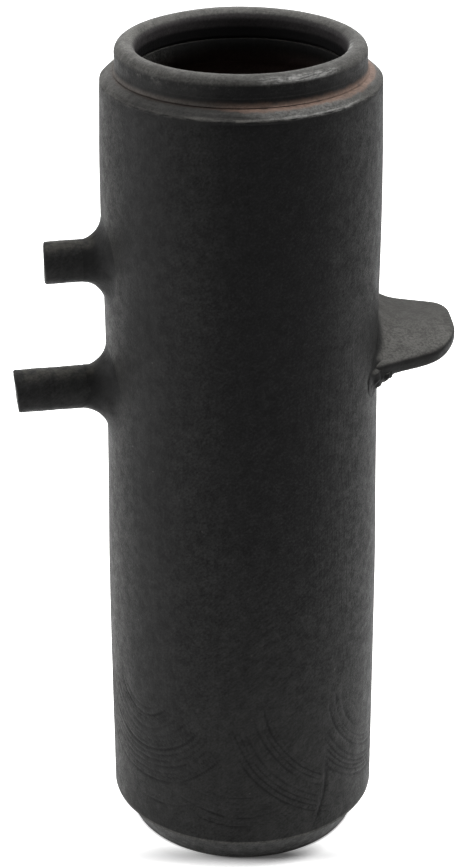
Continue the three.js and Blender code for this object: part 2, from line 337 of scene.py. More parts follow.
def makeCollar(material):
    shape = collarShape
    radius, bottom, top = collarRadius, collarLow.z, collarHigh.z
    inside = radius - shape["wall"]
    lipRound = shape["wall"] / 2
    lipCentre = top - lipRound
    flareHeight = shape["flareHeight"]
    flare = arcPoints((collarHigh.x, bottom + flareHeight), (collarFlare, flareHeight), 270, 180, 8)
    rise = lipCentre - flare[-1][1]
    wall = [(radius, flare[-1][1] + rise * i / shape["wallRings"]) for i in range(1, shape["wallRings"])]
    lip = arcPoints((radius - lipRound, lipCentre), (lipRound, lipRound), 0, 180, shape["lipRings"])
    drop = lipCentre - bottom - shape["chamfer"]
    inner = [(inside, lipCentre - drop * i / 8) for i in range(1, 9)]
    foot = (inside + shape["chamfer"], bottom)
    outline = [foot, *flare, *wall, *lip, *inner, foot]
    piece = spinOutline("collar", outline, shape["steps"])

    def thrownLines(place, normal):
        upright = 1 - abs(normal.z)
        line = noise.noise(Vector((place.x * 6, place.y * 6, place.z / shape["lineSize"])))
        around = Vector((place.x, place.y, 0)) / (34 * mm)
        wave = noise.noise(around) * shape["rimWave"] * smoothStep(place.z, bottom + 4 * mm, top)
        full = 0.1 * mm * smoothStep(place.z, bottom + 4 * mm, lipCentre)
        return line * shape["lineDepth"] * upright + wave + full

    pressByHand(piece, thrownLines)
    room = shape["topRoom"]
    for vertex in piece.data.vertices:  # high spots of the rim are rubbed down
        over = vertex.co.z - (top - room)
        if over > 0:
            vertex.co.z = top - room + over * room / (over + room)
    finishPiece(piece, ["collar"], material)
    return piece


# Pegs

pegShape = {
    "endRound": 1.2 * mm, "steps": 128, "ringLength": 0.9 * mm, "rootDepth": 3 * mm,
    "lineDepth": 0.08 * mm, "lineSize": 2.2 * mm, "lumpDepth": 0.3 * mm, "lumpSize": 9 * mm,
    "slants": {"upper_peg": 0, "lower_peg": 5},  # degrees, the end cut longer above
    "turns": {"upper_peg": 0.08, "lower_peg": 0.02},  # slope of the end in plan, towards +Y
    "longer": {"upper_peg": 1.7 * mm, "lower_peg": 0},
}


def pegLumps(place):
    lump = noise.noise(place / pegShape["lumpSize"] + Vector((3.1, 0.4, 8.8)))
    return lump * pegShape["lumpDepth"] - 0.05 * mm


def makePeg(name, node, material):
    low, high = boxOf(node)
    height, radius = (low.z + high.z) / 2, (high.z - low.z) / 2
    slant, turn = tan(radians(pegShape["slants"][node])), pegShape["turns"][node]
    end = low.x + slant * (radius - pegShape["endRound"]) - pegShape["longer"][node]
    root = -bodyRadius + pegShape["rootDepth"]
    rounding = pegShape["endRound"]
    corner = [(r, end + rounding - (a - rounding)) for r, a in
              arcPoints((radius - rounding, rounding), (rounding, rounding), 0, 90, 6)]
    barLength = root - (end + rounding)
    rings = round(barLength / pegShape["ringLength"])
    bar = [(radius, root - barLength * i / rings) for i in range(1, rings)]
    face = [(radius * share, end) for share in (0.7, 0.5, 0.3, 0.12)]
    piece = spinOutline(name, [(0, root), (radius, root), *bar, *corner, *face, (0, end)],
                        pegShape["steps"], axis="X", height=height)
    for vertex in piece.data.vertices:
        share = max(0.0, (root - vertex.co.x) / (root - end))
        vertex.co.x -= (slant * (vertex.co.z - height) - turn * (vertex.co.y + radius)) * share
    piece.data.update()
    coilEnd = wallRadius(height) + coilShape["reach"][node]

    def rolledLines(place, normal):
        free = (1 - abs(normal.x)) * smoothStep(-place.x, coilEnd, coilEnd + 3 * mm)
        line = noise.noise(Vector((place.x / pegShape["lineSize"], place.y * 30, place.z * 30)))
        return line * pegShape["lineDepth"] * free + pegLumps(place)

    pressByHand(piece, rolledLines)
    finishPiece(piece, [node], material)
    return piece


# Ear

earShape = {
    "reach": 40 * mm, "rootWidth": 57.5 * mm, "tipWidth": 34.9 * mm, "thickness": 7.9 * mm,
    "edgeRound": 2.7 * mm, "frontCorner": 25.5 * mm, "backCorner": 9.8 * mm, "tilt": 13.6,
    "voxel": 0.7 * mm, "lumpDepth": 0.35 * mm, "lumpSize": 13 * mm, "fullness": 0.3 * mm,
}


def earLumps(place, normal):
    lump = noise.noise(place / earShape["lumpSize"] + Vector((1.7, 5.2, 0.3))) * earShape["lumpDepth"]
    return lump + earShape["fullness"] * (1 - smoothStep(normal.x, 0.5, 0.95))


earLow, earHigh = boxOf("ear")
earHeight = (earLow.z + earHigh.z) / 2


def earHalfWidth(distance):
    share = (distance - bodyRadius) / earShape["reach"]
    return (earShape["rootWidth"] + (earShape["tipWidth"] - earShape["rootWidth"]) * share) / 2


def selectEdges(piece, test):
    # picks edges of the mesh in edit mode by a test on their two ends
    bpy.ops.mesh.select_mode(type="EDGE")
    bpy.ops.mesh.select_all(action="DESELECT")
    bpy.ops.object.mode_set(mode="OBJECT")
    for edge in piece.data.edges:
        ends = [piece.data.vertices[i].co for i in edge.vertices]
        edge.select = test(*ends)
    bpy.ops.object.mode_set(mode="EDIT")


def makeEar(material):
    shape = earShape
    tip = bodyRadius + shape["reach"]
    root = bodyRadius - 6 * mm
    half = shape["thickness"] / 2
    deselectAll()
    bpy.ops.mesh.primitive_cube_add(size=1, location=((root + tip) / 2, 0, earHeight),
                                    scale=(tip - root, 2 * earHalfWidth(root), shape["thickness"]))
    piece = bpy.context.object
    piece.name = "ear"
    bpy.ops.object.transform_apply(location=True, rotation=True, scale=True)
    bpy.ops.object.mode_set(mode="EDIT")
    selectEdges(piece, lambda a, b: a.x > tip - mm and b.x > tip - mm)
    narrowing = earHalfWidth(tip) / earHalfWidth(root)
    bpy.ops.transform.resize(value=(1, narrowing, 1), center_override=(tip, 0, earHeight))
    cornerHalf = (pi / 2 + atan2(earHalfWidth(root) - earHalfWidth(tip), tip - root)) / 2
    for side, radius, segments in ((-1, shape["frontCorner"], 16), (1, shape["backCorner"], 8)):
        selectEdges(piece, lambda a, b: min(a.x, b.x) > tip - mm and min(a.y * side, b.y * side) > 5 * mm
                    and abs(a.z - b.z) > half)
        bpy.ops.mesh.bevel(offset=radius / tan(cornerHalf), segments=segments, affect="EDGES")
    selectEdges(piece, lambda a, b: abs(a.z - b.z) < 0.1 * mm and max(a.x, b.x) > root + mm)
    bpy.ops.mesh.bevel(offset=shape["edgeRound"], segments=5, affect="EDGES")
    bpy.ops.object.mode_set(mode="OBJECT")
    piece.data.remesh_voxel_size = shape["voxel"]
    bpy.ops.object.voxel_remesh()
    soften = piece.modifiers.new("soften", "SMOOTH")
    soften.factor, soften.iterations = 0.5, 3
    bpy.ops.object.modifier_apply(modifier="soften")
    turn = Matrix.Translation((0, 0, earHeight)) @ Matrix.Rotation(radians(shape["tilt"]), 4, "X")
    piece.data.transform(turn @ Matrix.Translation((0, 0, -earHeight)))
    piece.data.update()

    pressByHand(piece, earLumps)
    for vertex in piece.data.vertices:
        vertex.co.x = min(vertex.co.x, earHigh.x - 0.05 * mm)
    finishPiece(piece, ["ear"], material)
    return piece


# Root coils

coilShape = {
    "reach": {"upper_peg": 10.8 * mm, "lower_peg": 10.5 * mm, "ear": 7.7 * mm},
    "excess": {"upper_peg": 1.0 * mm, "lower_peg": 3.4 * mm, "ear": 0.5 * mm},  # added on the underside
    "nearThin": 0.55,  # share by which the ear's coil is smaller on top at its near end
    "topGrowth": 18 * mm, "topRise": 0.5,  # along the ear's top at the back, and its share up the wall
    # torn clay under the ear's near end
    "torn": 0.8 * mm, "tornFill": 2.2 * mm, "tornDepth": 1.4 * mm, "tornSize": 3.4 * mm,
    "sink": 0.012 * mm,
    "pegAround": 160, "earCorner": 16, "earFlat": 76, "hollowSteps": 30,
    "lumpDepth": 0.5 * mm, "lumpSize": 7 * mm,
}


def pegSection(radius):
    count = coilShape["pegAround"]
    turns = [tau * i / count for i in range(count)]
    return lambda distance: [(radius * cos(t), radius * sin(t), cos(t), sin(t)) for t in turns]


def earSection(distance):
    # rounded rectangle of the ear at this distance from the axis, as place and outward direction
    rounding = earShape["edgeRound"]
    flatHalf = earHalfWidth(distance) - rounding
    sideHalf = earShape["thickness"] / 2 - rounding
    section = []
    for quarter, (side, level) in enumerate(((1, 1), (-1, 1), (-1, -1), (1, -1))):
        for i in range(coilShape["earCorner"] + 1):
            t = radians(90 * (quarter + i / coilShape["earCorner"]))
            corner = (side * flatHalf + rounding * cos(t), level * sideHalf + rounding * sin(t))
            section.append((*corner, cos(t), sin(t)))
        if quarter % 2 == 0:
            for i in range(1, coilShape["earFlat"]):
                across = side * flatHalf * (1 - 2 * i / coilShape["earFlat"])
                section.append((across, level * (sideHalf + rounding), 0.0, level))
    return section


def earGrowth(across, up):
    back = min(1.0, max(0.0, (across + 20 * mm) / (48 * mm)))
    return coilShape["topGrowth"] * (0.08 + 0.92 * back ** 2) * smoothStep(up, -0.3, 0.6)


def coilLoops(sectionAt, root, height, tilt):
    # loops round the root: down the hollow face, then closed behind it inside the wall and the root
    reach, excess = coilShape["reach"][root], coilShape["excess"][root]
    sink = coilShape["sink"]
    steps = coilShape["hollowSteps"]
    wall = wallRadius(height)
    loops = []
    profile = [(0, 1.08, 0.17)]  # the feather edges run on a little below the surface
    profile += [(1 - cos(t), 1 - sin(t), 0.0) for t in (pi / 2 * i / steps for i in range(steps + 1))]
    profile += [(1.08, 0, 0.06), (0.9, 0, 1.0), (0.4, 0, 1.6), (0, 0, 2.0), (0, 0.5, 1.2)]
    for outward, upward, behind in profile:
        section = sectionAt(wall + reach * upward)
        further = sectionAt(wall + (reach + coilShape["topGrowth"]) * upward)
        loop = []
        for (y, z, across, up), (furtherY, *_) in zip(section, further):
            size, growth = reach + excess * max(0.0, -up) + sink, 0.0
            if root == "ear":
                growth = earGrowth(y, up)
                thin = smoothStep(-y, 10 * mm, 26 * mm) * smoothStep(up, -0.2, 0.6)
                torn = smoothStep(-y, 16 * mm, 28 * mm) * smoothStep(-up, -0.4, 0.7)
                size = size * (1 - coilShape["nearThin"] * thin) + coilShape["torn"] * torn
                y += (furtherY - y) * growth / coilShape["topGrowth"]
            spread = (size + growth * coilShape["topRise"]) * outward - sink - behind * 0.3 * mm
            stand = (size + growth) * upward - sink - behind * mm
            own = Vector((0, y + spread * across, z + spread * up))
            turned = Matrix.Rotation(tilt, 3, "X") @ own
            face = sqrt(wallRadius(height + turned.z) ** 2 - turned.y ** 2)
            loop.append(Vector((face + stand, turned.y, height + turned.z)))
        loops.append(loop)
    return loops


def makeCoil(name, root, sectionAt, height, tilt, turnedRound, material):
    loops = coilLoops(sectionAt, root, height, tilt)
    around, along = len(loops[0]), len(loops)
    deselectAll()
    bpy.ops.mesh.primitive_grid_add(x_subdivisions=around, y_subdivisions=along, size=1)
    piece = bpy.context.object  # a flat strip of clay, rolled round the root
    piece.name = name
    half = 0.5 + 1e-4
    for vertex in piece.data.vertices:
        i = round((vertex.co.x + half) * around) % around
        j = round((vertex.co.y + half) * along) % along
        place = loops[j][i]
        vertex.co = Vector((-place.x, -place.y, place.z)) if turnedRound else place
    bpy.ops.object.mode_set(mode="EDIT")
    bpy.ops.mesh.select_all(action="SELECT")
    bpy.ops.mesh.remove_doubles(threshold=0.002 * mm)
    bpy.ops.mesh.normals_make_consistent(inside=False)
    bpy.ops.object.mode_set(mode="OBJECT")

    def smoothedLumps(place, normal):
        out = hypot(place.x, place.y) - wallRadius(place.z)
        middle = 4 * abs(normal.x) * (1 - abs(normal.x)) * smoothStep(out, -3 * mm, 4 * mm)
        lumps = noise.noise(place / coilShape["lumpSize"]) * coilShape["lumpDepth"] * middle
        if root == "ear":
            near = smoothStep(-place.y, 17 * mm, 25 * mm) * smoothStep(earHeight - place.z, 3 * mm, 8 * mm)
            near *= 1 - smoothStep(out, 5.5 * mm, 10 * mm)
            pit = abs(noise.noise(place / coilShape["tornSize"])) * 2 - 0.5
            torn = pit * coilShape["tornDepth"] + coilShape["tornFill"]
            lumps += torn * near * min(1.0, 1.2 * middle)
        share = smoothStep(out, 0.25 * coilShape["reach"][root], 0.9 * coilShape["reach"][root])
        return lumps + share * (earLumps(place, normal) if root == "ear" else pegLumps(place))

    pressByHand(piece, smoothedLumps)
    finishPiece(piece, [root + "_coil"], material, sharpAngle=50)
    return piece


# Materials

clayLook = {
    "dark": (0.0095, 0.0095, 0.0094, 1), "light": (0.021, 0.021, 0.0205, 1),
    # on the next line the first colour is painted shade, the second pale wear and painted highlight
    "paintedShade": (0.0035, 0.0035, 0.0037, 1), "wearAndHighlight": (0.085, 0.082, 0.076, 1),
    "warm": (0.185, 0.122, 0.096, 1), "inside": (0.13, 0.094, 0.084, 1),
    "neck": (0.037, 0.034, 0.035, 1), "pale": (0.03, 0.03, 0.029, 1),
    # the next line's colours are dust and wear with painted light on what faces up
    "dustAndTopLight": (0.07, 0.068, 0.064, 1), "lipDustAndLight": (0.085, 0.083, 0.078, 1),
    # the next line's first colour is dust with painted light on the ear's top
    "earDustAndLight": (0.08, 0.078, 0.073, 1), "olive": (0.045, 0.043, 0.035, 1),
    # the next line's first colour is a painted highlight
    "paintedHighlight": (0.34, 0.34, 0.33, 1),
    "roughness": (0.46, 0.62), "specular": 0.075, "grainSize": 1.1, "turnedStretch": 13 * mm,
    "grainDepth": 0.12, "mottleDepth": 0.24, "streakDepth": 0.035, "scratchDepth": 0.09,
}


def addNode(tree, kind, **settings):
    made = tree.nodes.new(kind)
    for key, value in settings.items():
        setattr(made, key, value)
    return made


def wire(tree, source, target):
    tree.links.new(source, target)


def addNoise(tree, vector, size, detail=4.0, roughness=0.55):
    # noise whose features are about this many millimetres wide
    made = addNode(tree, "ShaderNodeTexNoise")
    made.inputs["Scale"].default_value = 1 / (size * mm)
    made.inputs["Detail"].default_value = detail
    made.inputs["Roughness"].default_value = roughness
    wire(tree, vector, made.inputs["Vector"])
    return made.outputs["Fac"]


def addMath(tree, operation, first, second=None, third=None, clamp=False):
    made = addNode(tree, "ShaderNodeMath", operation=operation, use_clamp=clamp)
    for i, value in enumerate((first, second, third)):
        if value is None:
            continue
        if isinstance(value, (int, float)):
            made.inputs[i].default_value = value
        else:
            wire(tree, value, made.inputs[i])
    return made.outputs[0]


def addProduct(tree, first, *others):
    for value in others:
        first = addMath(tree, "MULTIPLY", first, value)
    return first


def addRange(tree, value, low, high, toLow=0.0, toHigh=1.0, kind="SMOOTHSTEP"):
    made = addNode(tree, "ShaderNodeMapRange", interpolation_type=kind)
    wire(tree, value, made.inputs["Value"])
    for name, number in zip(("From Min", "From Max", "To Min", "To Max"), (low, high, toLow, toHigh)):
        made.inputs[name].default_value = number
    return made.outputs["Result"]


def addMix(tree, share, first, second):
    made = addNode(tree, "ShaderNodeMix", data_type="RGBA")
    wire(tree, share, made.inputs["Factor"])
    for socket, value in ((made.inputs[6], first), (made.inputs[7], second)):
        if isinstance(value, tuple):
            socket.default_value = value
        else:
            wire(tree, value, socket)
    return made.outputs[2]


def addMapping(tree, vector, scale=(1, 1, 1), turn=(0, 0, 0), move=(0, 0, 0)):
    made = addNode(tree, "ShaderNodeMapping")
    made.inputs["Location"].default_value = move
    made.inputs["Rotation"].default_value = turn
    made.inputs["Scale"].default_value = scale
    wire(tree, vector, made.inputs["Vector"])
    return made.outputs["Vector"]


def addBump(tree, height, depth, before=None):
    made = addNode(tree, "ShaderNodeBump")
    made.inputs["Strength"].default_value = 1.0
    made.inputs["Distance"].default_value = depth * mm
    wire(tree, height, made.inputs["Height"])
    if before is not None:
        wire(tree, before, made.inputs["Normal"])
    return made.outputs["Normal"]


def readSurface(tree):
    # what the masks read: place, distance from the vase's axis, direction faced, and noises
    place = addNode(tree, "ShaderNodeTexCoord").outputs["Object"]
    apart = addNode(tree, "ShaderNodeSeparateXYZ")
    wire(tree, place, apart.inputs[0])
    x, y, z = apart.outputs
    facing = addNode(tree, "ShaderNodeSeparateXYZ")
    wire(tree, addNode(tree, "ShaderNodeNewGeometry").outputs["Normal"], facing.inputs[0])
    radius = addMath(tree, "SQRT", addMath(tree, "MULTIPLY_ADD", x, x, addMath(tree, "MULTIPLY", y, y)))
    # along the profile, and slowly round the axis: a noise on it makes turned streaks
    turned = addNode(tree, "ShaderNodeCombineXYZ")
    for i, part in enumerate((x, y)):
        share = addMath(tree, "DIVIDE", part, radius)
        wire(tree, addProduct(tree, share, clayLook["turnedStretch"]), turned.inputs[i])
    wire(tree, addMath(tree, "SUBTRACT", radius, z), turned.inputs[2])
    return {
        "turned": turned.outputs[0], "place": place, "x": x, "y": y, "z": z, "radius": radius,
        "east": facing.outputs[0], "up": facing.outputs[2],
        "cloud": addNoise(tree, place, 42, 5, 0.6), "mottle": addNoise(tree, place, 5.5, 6, 0.68),
        "fine": addNoise(tree, place, clayLook["grainSize"], 8, 0.72),
    }


def addSector(tree, at, angle, full, none):
    # 1 near a direction round the axis, fading to 0, in degrees from the -Y side towards +X
    turn = radians(angle)
    along = addMath(tree, "MULTIPLY", at["y"], -cos(turn))
    along = addMath(tree, "MULTIPLY_ADD", at["x"], sin(turn), along)
    along = addMath(tree, "DIVIDE", along, at["radius"])
    return addRange(tree, along, cos(radians(none)), cos(radians(full)))


def addBand(tree, value, middle, full, none):
    # 1 within this distance of a level, fading to 0
    away = addMath(tree, "ABSOLUTE", addMath(tree, "SUBTRACT", value, middle))
    return addRange(tree, away, full, none, 1, 0)


def addGrain(tree, at, least, most=1):
    return addRange(tree, at["fine"], 0.35, 0.65, least, most)


def addStreak(tree, place, grain):
    return addNoise(tree, addMapping(tree, place, grain), 1.2, 5, 0.6)


def specks(tree, at):
    # small pale specks, one in about every fourth cell
    cells = addNode(tree, "ShaderNodeTexVoronoi")
    cells.inputs["Scale"].default_value = 1 / (7 * mm)
    wire(tree, at["place"], cells.inputs["Vector"])
    keep = addNode(tree, "ShaderNodeSeparateColor")
    wire(tree, cells.outputs["Color"], keep.inputs[0])
    return addProduct(tree, addRange(tree, cells.outputs["Distance"], 0.04, 0.075, 1, 0),
                      addRange(tree, keep.outputs[0], 0.72, 0.8), 0.45)


def topDustAndLight(tree, at):
    # pale dust and wear, and painted light, on what faces up
    return addProduct(tree, addRange(tree, at["up"], 0.35, 0.9), addGrain(tree, at, 0.35))


def lipDustAndLight(tree, at):
    # the lip is rubbed over its whole top, more at the back; part of the paleness is painted light
    back = addRange(tree, addSector(tree, at, -170, 50, 115), 0, 1, 0.85, 1.2)
    streaks = addRange(tree, addNoise(tree, at["turned"], 1.6, 4, 0.55), 0.34, 0.66, 0.75, 1)
    return addProduct(tree, addRange(tree, at["up"], 0, 0.5), streaks, addGrain(tree, at, 0.8), back)


def earDustAndLight(tree, at):
    # dust and painted light on the ear's top: smooth and a little darker at the back, pale and speckled at
    # the front
    front = addRange(tree, at["y"], 14 * mm, -16 * mm)
    rough = addMath(tree, "MULTIPLY_ADD", at["fine"], 1.2, addProduct(tree, at["mottle"], 0.5))
    speckle = addRange(tree, rough, 0.72, 0.98, 0.55, 1.2)
    share = addMath(tree, "MULTIPLY_ADD", addMath(tree, "SUBTRACT", speckle, 0.56), front, 0.56, clamp=True)
    return addProduct(tree, addRange(tree, at["up"], 0.35, 0.9), share)


def pegDust(tree, at):
    patchy = addRange(tree, at["mottle"], 0.4, 0.6, 0.1, 0.8)
    return addProduct(tree, addRange(tree, at["up"], 0.6, 1.0), patchy)


def shoulderDustAndLight(tree, at):
    # dust and painted light on the shoulder, paler at the front right than at the front left
    shaded = addRange(tree, addSector(tree, at, -38, 18, 42), 0, 1, 1.15, 0.5)
    streaks = addRange(tree, addNoise(tree, at["turned"], 1.4, 5, 0.62), 0.34, 0.66, 0.65, 1.05)
    return addProduct(tree, addRange(tree, at["up"], 0.35, 0.9), streaks, addGrain(tree, at, 0.85), shaded)


def paintedShadeCloud(tree, at):
    # painted shade: darkest in a tall patch at the front, and darker all round towards the top
    patch = addProduct(tree, addSector(tree, at, 4, 6, 34), addRange(tree, at["z"], 75 * mm, 215 * mm),
                       addRange(tree, at["cloud"], 0.3, 0.6, 0.55, 0.8),
                       addRange(tree, at["fine"], 0.42, 0.66, 1.05, 0.5))
    higherShade = addRange(tree, at["z"], 110 * mm, 290 * mm, 0, 0.3)
    return addMath(tree, "ADD", patch, higherShade, clamp=True)


def paintedLightLow(tree, at):
    # painted light low on the wall, most at the front right
    right = addRange(tree, addSector(tree, at, 48, 15, 60), 0, 1, 0.55, 1)
    return addProduct(tree, addRange(tree, at["z"], 150 * mm, 25 * mm), right, 0.5)


def wornAndLitSide(tree, at):
    # rubbed pale on the side of the pegs, partly painted highlight
    rough = addMath(tree, "MULTIPLY_ADD", at["mottle"], 0.4, at["fine"])
    return addProduct(tree, addSector(tree, at, -110, 10, 50), addRange(tree, rough, 0.52, 0.95, 0.02, 0.5))


def paintedGrooveShade(tree, at):
    # painted shade in the scraped grooves
    cut = addNode(tree, "ShaderNodeAttribute", attribute_name="strokeCut").outputs["Fac"]
    return addRange(tree, cut, 0.1, 0.9, 0, 0.75)


def bareJoint(tree, at):
    # rubbed, bare clay where the collar meets the shoulder, most at the front right
    right = addSector(tree, at, 42, 36, 75)
    rough = addMath(tree, "SUBTRACT", addMath(tree, "MULTIPLY_ADD", at["fine"], 0.5, at["mottle"]), 0.75)
    ragged = addMath(tree, "MULTIPLY_ADD", rough, 4.5 * mm, at["z"])
    onCollar = addRange(tree, ragged, bodyTop + 3.2 * mm, bodyTop + 0.2 * mm)
    outside = addRange(tree, at["radius"], collarRadius - 1.6 * mm, collarRadius - 0.8 * mm)
    reach = addMath(tree, "MULTIPLY_ADD", right, 1.7 * mm, collarHigh.x + 0.6 * mm)
    beyond = addMath(tree, "MULTIPLY_ADD", rough, 5 * mm, addMath(tree, "SUBTRACT", at["radius"], reach))
    onShoulder = addRange(tree, beyond, 1.1 * mm, -0.7 * mm)
    share = addRange(tree, right, 0, 1, 0.17, 0.9)
    patchy = addRange(tree, at["mottle"], 0.34, 0.6, 0.6, 1)
    return addProduct(tree, onCollar, outside, onShoulder, share, patchy)


def wornAndLitHeel(tree, at):
    # a pale line of wear and painted highlight where the cylinder meets the foot
    return addProduct(tree, addBand(tree, at["z"], bodyBottom + 0.5 * mm, 0.6 * mm, 1.3 * mm),
                      addRange(tree, at["mottle"], 0.3, 0.6, 0.7, 1))


def edgeStreaks(tree, at, low, high):
    return addRange(tree, addNoise(tree, at["turned"], 1.1, 5, 0.68), low, high)


def wornAndLitEdge(tree, at):
    # broken pale streaks of wear and painted highlight along the outer edge of the shoulder
    front = addRange(tree, addSector(tree, at, 14, 20, 60), 0, 1, 0.4, 0.85)
    return addProduct(tree, addBand(tree, at["z"], shoulderLevel + 0.8 * mm, 0.2 * mm, 1.2 * mm),
                      edgeStreaks(tree, at, 0.4, 0.62), front,
                      addRange(tree, at["radius"], bodyRadius - 3 * mm, bodyRadius - 2 * mm))


def shoulderPaintedHighlight(tree, at):
    # painted highlight, brightest along the shoulder's edge at the front right, and a little all over it
    # there
    edge = addProduct(tree, addBand(tree, at["z"], shoulderLevel + 1.0 * mm, 0.3 * mm, 1.1 * mm),
                      edgeStreaks(tree, at, 0.42, 0.64), addSector(tree, at, 27, 9, 24), 0.36)
    wide = addProduct(tree, addSector(tree, at, 17, 8, 28), addRange(tree, at["up"], 0.3, 0.9),
                      addGrain(tree, at, 0.04, 0.2))
    outer = addRange(tree, at["radius"], bodyRadius - 6 * mm, bodyRadius - 4 * mm)
    return addProduct(tree, addMath(tree, "ADD", edge, wide), outer)


def collarInside(tree, at):
    inner = collarRadius - collarShape["wall"]
    return addRange(tree, at["radius"], inner + 1.3 * mm, inner + 0.3 * mm, 0, 0.9)


def paintedInsideShade(tree, at):
    # painted shade: the inside of the neck goes black towards the joint
    inner = collarRadius - collarShape["wall"]
    near = addRange(tree, at["radius"], inner + 1.3 * mm, inner + 0.3 * mm)
    return addProduct(tree, near, addRange(tree, at["z"], collarHigh.z - 7 * mm, bodyTop + 5 * mm, 0, 0.95))


def deepInside(tree, at):
    # brown clay shows deep inside, most at the back right
    deep = addRange(tree, at["radius"], bodyRadius - 6 * mm, bodyRadius - 8 * mm)
    side = addRange(tree, addSector(tree, at, 148, 18, 72), 0, 1, 0.35, 1)
    return addProduct(tree, deep, addRange(tree, at["z"], bodyTop - 3 * mm, bodyTop - 15 * mm), side)


def footRim(tree, at):
    low = addRange(tree, at["z"], 2.8 * mm, 1.0 * mm)
    return addProduct(tree, low, addRange(tree, at["mottle"], 0.3, 0.6, 0.3, 0.7))


def lipPaintedHighlight(tree, at):
    # painted highlight in streaks on the lip at the front right, and inside at the right
    streaks = addRange(tree, addNoise(tree, at["turned"], 0.9, 5, 0.7), 0.4, 0.6, 0.15, 1.1)
    level = collarHigh.z - 2.2 * mm
    front = addProduct(tree, addSector(tree, at, 17, 7, 24),
                       addBand(tree, at["z"], level, 0.3 * mm, 1.9 * mm),
                       addRange(tree, at["radius"], collarRadius - 3.6 * mm, collarRadius - 2.6 * mm))
    inner = addProduct(tree, addSector(tree, at, 66, 6, 20),
                       addBand(tree, at["z"], level, 0.6 * mm, 2.2 * mm),
                       addRange(tree, at["radius"], collarRadius - 6 * mm, collarRadius - 7 * mm))
    return addProduct(tree, addMath(tree, "ADD", front, inner, clamp=True), streaks, 0.75)


def lipSpeckle(tree, at):
    # worn speckle on the lip, most at the left and the back
    rough = addMath(tree, "MULTIPLY_ADD", at["fine"], 0.8, addProduct(tree, at["mottle"], 0.8))
    left = addRange(tree, addSector(tree, at, -120, 40, 105), 0, 1, 0.1, 0.5)
    high = addRange(tree, at["z"], collarHigh.z - 9 * mm, collarHigh.z - 5 * mm)
    return addProduct(tree, addRange(tree, rough, 0.8, 0.98), left, high)


def tornPaintedShade(tree, at):
    # painted shade in the torn clay under the ear's near end
    near = addRange(tree, at["y"], -15 * mm, -24 * mm)
    below = addRange(tree, at["z"], earHeight - 7 * mm, earHeight - 11 * mm)
    return addProduct(tree, near, below, addRange(tree, at["mottle"], 0.36, 0.6, 0.95, 0.35))


def paintedEndShade(tree, at):
    # painted shade on the pegs' end faces
    return addRange(tree, at["east"], -0.6, -0.9, 0, 0.9)


